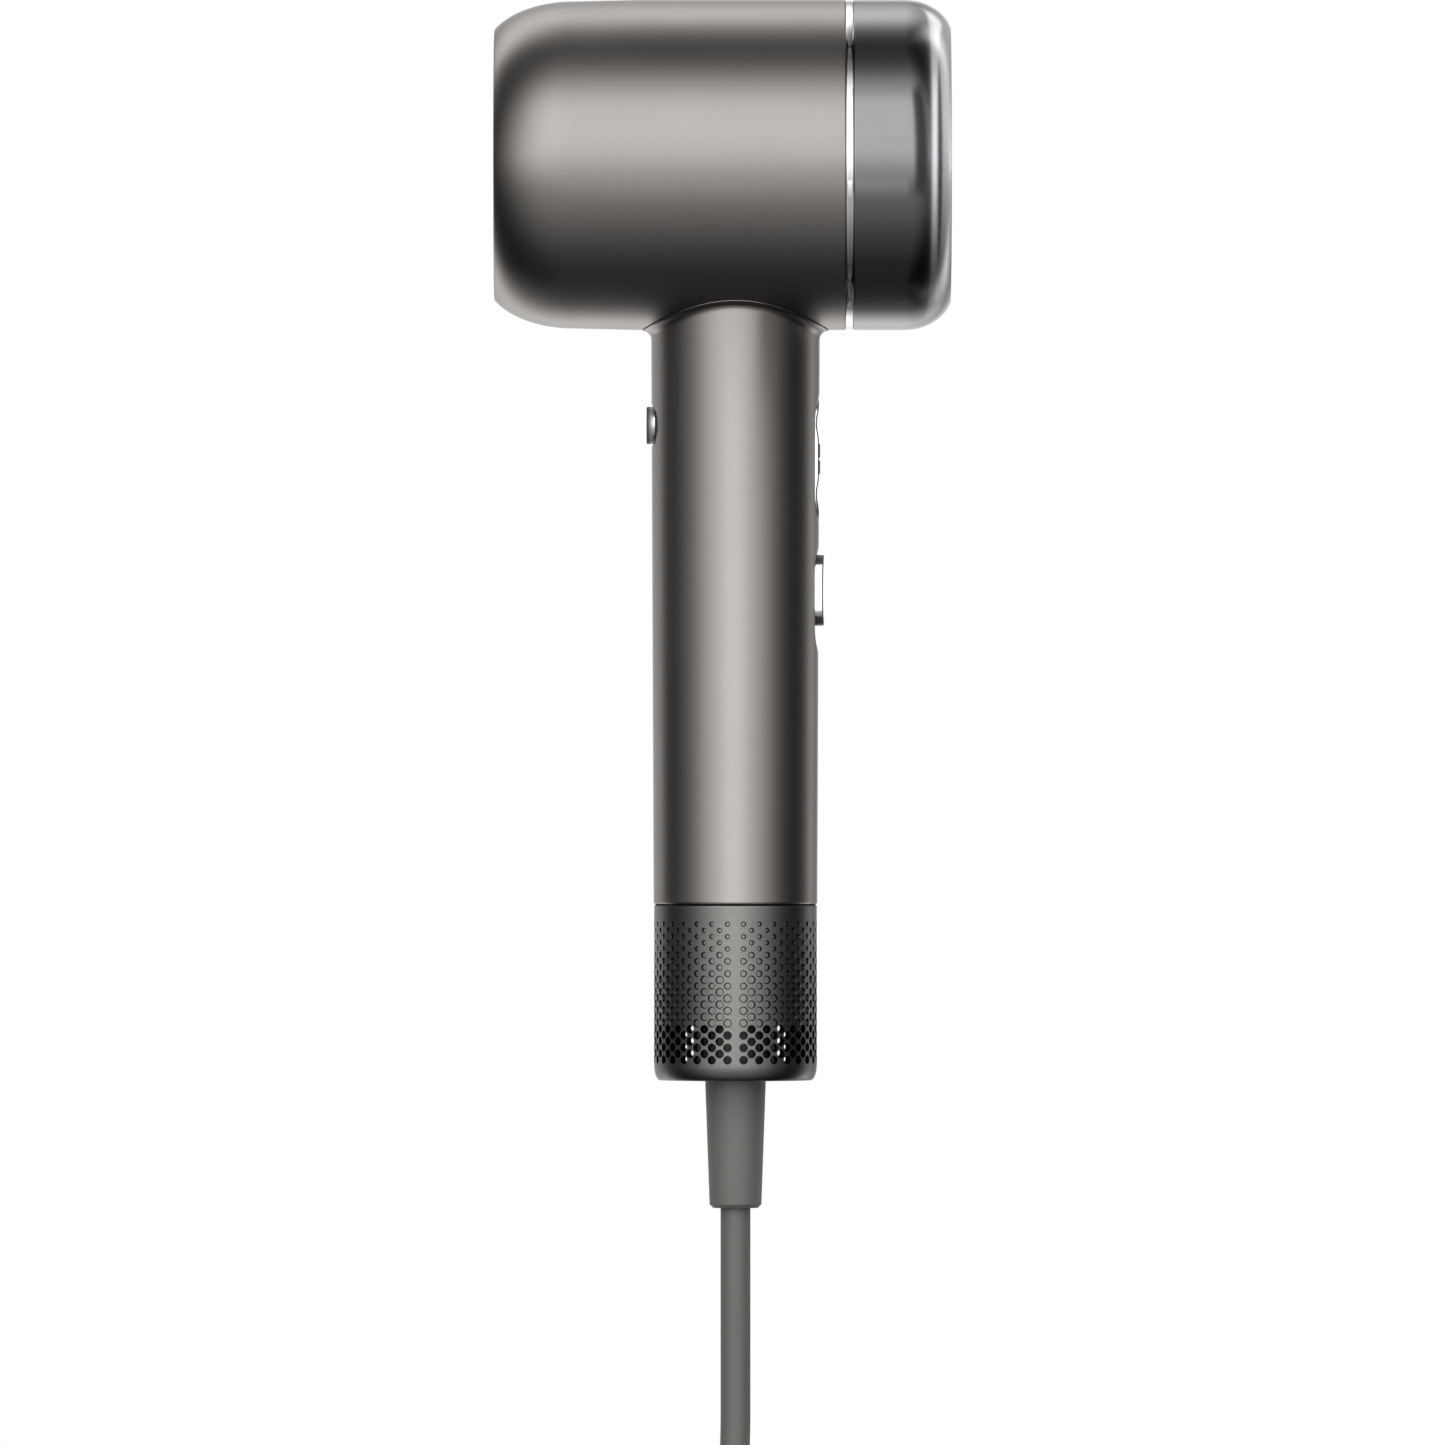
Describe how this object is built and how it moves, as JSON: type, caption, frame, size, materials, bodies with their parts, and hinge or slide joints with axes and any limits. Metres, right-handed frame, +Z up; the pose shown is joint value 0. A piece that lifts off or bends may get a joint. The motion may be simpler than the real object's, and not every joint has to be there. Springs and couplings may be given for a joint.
{
  "type": "hair dryer",
  "caption": "Hair dryer with a short round barrel on a slim straight handle, a perforated air inlet at the foot, side controls, a magnetic nozzle seat and a coiled mains cord.",
  "frame": {"origin": "on the handle's axis at the underside of the barrel", "axes": "+Z up along the handle towards the barrel, -X the way the air leaves, +X the side with the pad and the power slider"},
  "size_m": [0.1316, 0.1621, 0.375],
  "materials": {
    "titanium_paint": "satin metallic paint, warm titanium grey",
    "polished_ring": "mirror polished",
    "graphite_gloss": "dark graphite, high gloss",
    "polished_silver": "polished silver plating",
    "satin_silver": "satin silver plating",
    "zinc_screw": "bright zinc",
    "black_nylon": "moulded, matt",
    "dark_grille": "matt black",
    "nickel_magnet": "nickel plated",
    "mica_sheet": "pressed mica sheet",
    "heating_wire": "drawn resistance wire",
    "glass_bead": "glazed bead",
    "circuit_board": "solder masked laminate",
    "component_black": "moulded components",
    "lens_smoke": "smoked lens",
    "cast_alloy": "machined",
    "silicone_rubber": "soft moulded",
    "lamination_steel": "stacked laminations",
    "copper_wire": "enamelled copper winding",
    "bearing_steel": "ground steel",
    "charcoal_moulding": "moulded, satin",
    "charcoal_paint": "satin charcoal paint, bead blasted",
    "relief_rubber": "matt moulded",
    "cord_rubber": "matt extruded",
    "tie_strap": "woven hook and loop strap",
    "plug_rubber": "matt moulded",
    "pin_metal": "nickel plated brass"
  },
  "bodies": {
    "dryer": {"head_shell": "titanium_paint", "trim_ring": "polished_ring", "rear_cap": "graphite_gloss", "rear_panel": "graphite_gloss", "cap_screws": "zinc_screw", "outlet_ring": "black_nylon", "nozzle_magnet": "nickel_magnet", "outlet_grille": "dark_grille", "ion_emitter": "zinc_screw", "ion_module": "black_nylon", "air_guide": "black_nylon", "heater_tube": "mica_sheet", "heater_frame": "mica_sheet", "heater_coils": "heating_wire", "thermal_cutout": "zinc_screw", "thermistor": "glass_bead", "neck_duct": "black_nylon", "neck_nut": "zinc_screw", "handle_shell": "titanium_paint", "board_carrier": "black_nylon", "control_board": "circuit_board", "board_components": "component_black", "power_switch": "black_nylon", "control_pad": "satin_silver", "indicator_lenses": "lens_smoke", "tact_switches": "black_nylon", "cool_board": "circuit_board", "cool_switch": "black_nylon", "cool_seal": "silicone_rubber", "motor_housing": "cast_alloy", "motor_mounts": "silicone_rubber", "motor_stator": "lamination_steel", "stator_coils": "copper_wire", "motor_bearings": "bearing_steel", "motor_board": "circuit_board", "inlet_guard": "zinc_screw", "intake_core": "charcoal_moulding", "cover_magnets": "nickel_magnet", "cable_clamp": "black_nylon", "clamp_screws": "zinc_screw", "strain_relief": "relief_rubber", "cord_inner": "cord_rubber", "cord_lead": "cord_rubber", "cord_coil": "cord_rubber", "cord_tail": "cord_rubber", "cord_tie": "tie_strap", "plug_body": "plug_rubber", "plug_pins": "pin_metal"},
    "power_slider": {"power_slider": "polished_silver", "switch_lever": "zinc_screw"},
    "speed_button": {"speed_button": "polished_silver"},
    "heat_button": {"heat_button": "polished_silver"},
    "cool_button": {"cool_button": "polished_silver"},
    "intake_cover": {"filter_cover": "charcoal_paint", "cover_ring": "zinc_screw"},
    "rotor": {"rotor_shaft": "bearing_steel", "rotor_magnet": "nickel_magnet", "impeller": "cast_alloy"}
  },
  "joints": [
    {"name": "power_slide", "type": "slide", "parent": "dryer", "child": "power_slider", "axis": [0, 0, -1], "range_m": [0, 0.0048]},
    {"name": "speed_press", "type": "slide", "parent": "dryer", "child": "speed_button", "axis": [-1, 0, 0], "range_m": [0, 0.0008], "stiffness_N_per_m": 600},
    {"name": "heat_press", "type": "slide", "parent": "dryer", "child": "heat_button", "axis": [-1, 0, 0], "range_m": [0, 0.0008], "stiffness_N_per_m": 600},
    {"name": "cool_press", "type": "slide", "parent": "dryer", "child": "cool_button", "axis": [1, 0, 0], "range_m": [0, 0.0012], "stiffness_N_per_m": 600},
    {"name": "cover_slide", "type": "slide", "parent": "dryer", "child": "intake_cover", "axis": [0, 0, -1], "range_m": [0, 0.045]},
    {"name": "rotor_spin", "type": "hinge", "parent": "dryer", "child": "rotor", "pos_m": [0, 0, -0.1], "axis": [0, 0, 1], "continuous": true}
  ]
}
